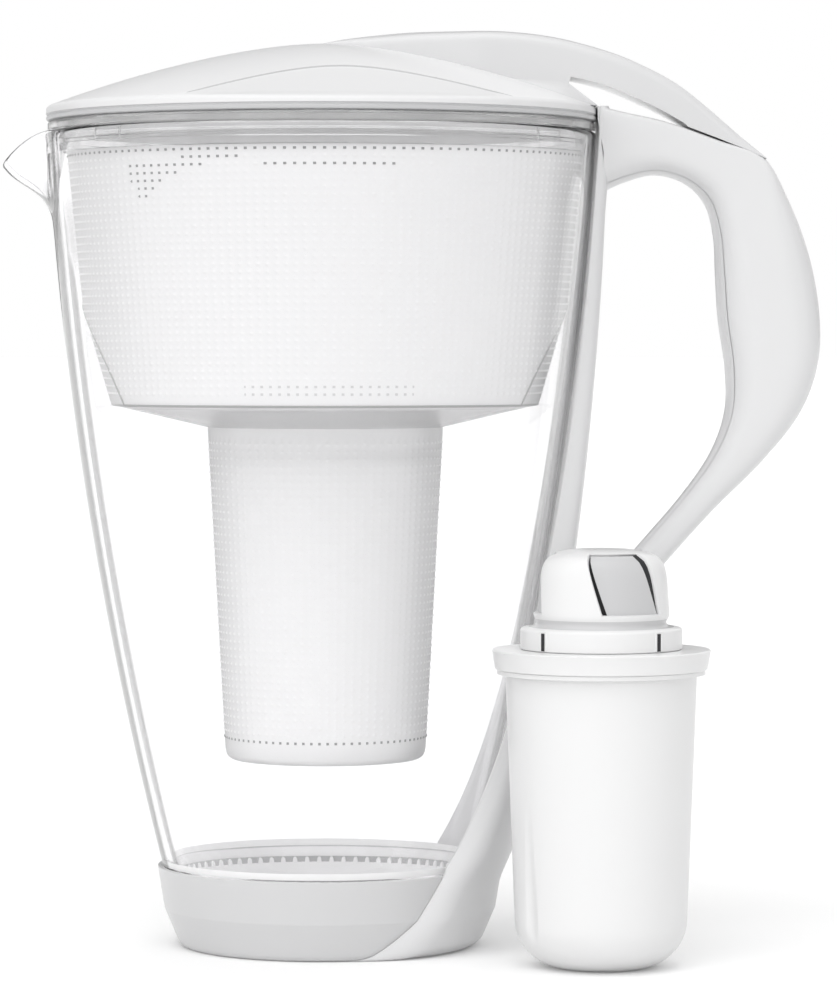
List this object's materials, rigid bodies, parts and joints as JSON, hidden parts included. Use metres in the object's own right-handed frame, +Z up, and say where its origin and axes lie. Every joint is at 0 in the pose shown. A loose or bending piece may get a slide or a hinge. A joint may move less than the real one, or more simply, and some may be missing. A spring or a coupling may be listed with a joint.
{
  "type": "water filter pitcher",
  "caption": "Glass water filter pitcher with a plastic frame and handle, a hinged flip lid, a hopper with a filter well, and a filter cartridge standing beside it.",
  "frame": {"origin": "on the table under the glass jug's axis, at the centre of the base's underside", "axes": "+Z up along the jug's axis, +X towards the handle and -X towards the spout, -Y the side that the picture shows"},
  "size_m": [0.2374, 0.1594, 0.2653],
  "materials": {
    "clear_glass": "clear, polished",
    "base_plastic": "satin light grey",
    "white_plastic": "glossy white",
    "handle_plastic": "satin white",
    "lid_plastic": "glossy white",
    "clear_plastic": "clear moulded plastic",
    "dotted_plastic": "translucent plastic with moulded dots",
    "soft_seal": "matt soft seal",
    "foot_rubber": "matt rubber",
    "steel": "plain steel",
    "cartridge_plastic": "glossy white",
    "mesh_plastic": "fine woven mesh",
    "fleece": "white non-woven fleece",
    "granulate": "dark granulate"
  },
  "bodies": {
    "pitcher": {"glass_jug": "clear_glass", "base_cup": "base_plastic", "glass_seat_ring": "soft_seal", "foot_pad": "foot_rubber", "handle_spine": "handle_plastic", "spine_liner": "soft_seal", "handle_grip": "handle_plastic", "grip_cover": "white_plastic", "handle_screws": "steel", "base_screws": "steel", "hopper_rim": "clear_plastic", "hopper_bowl": "dotted_plastic", "filter_well": "dotted_plastic", "well_seal": "soft_seal", "hinge_pin": "steel"},
    "lid": {"lid_shell": "lid_plastic", "lid_tail": "lid_plastic", "lid_ring": "lid_plastic", "lid_seal": "soft_seal", "tail_screws": "steel"},
    "cartridge": {"cartridge_cup": "cartridge_plastic", "cartridge_cap": "cartridge_plastic", "inlet_windows": "mesh_plastic", "cartridge_seal": "soft_seal", "upper_fleece": "fleece", "filter_media": "granulate", "lower_fleece": "fleece", "outlet_screen": "mesh_plastic"}
  },
  "joints": [
    {"name": "lid_flip", "type": "hinge", "parent": "pitcher", "child": "lid", "pos_m": [0.1276, 0, 0.2269], "axis": [0, 1, 0], "range_deg": [0, 95]},
    {"name": "cartridge_slide", "type": "slide", "parent": "pitcher", "child": "cartridge", "axis": [0.8536, -0.521, 0], "range_m": [0, 0.08]}
  ]
}
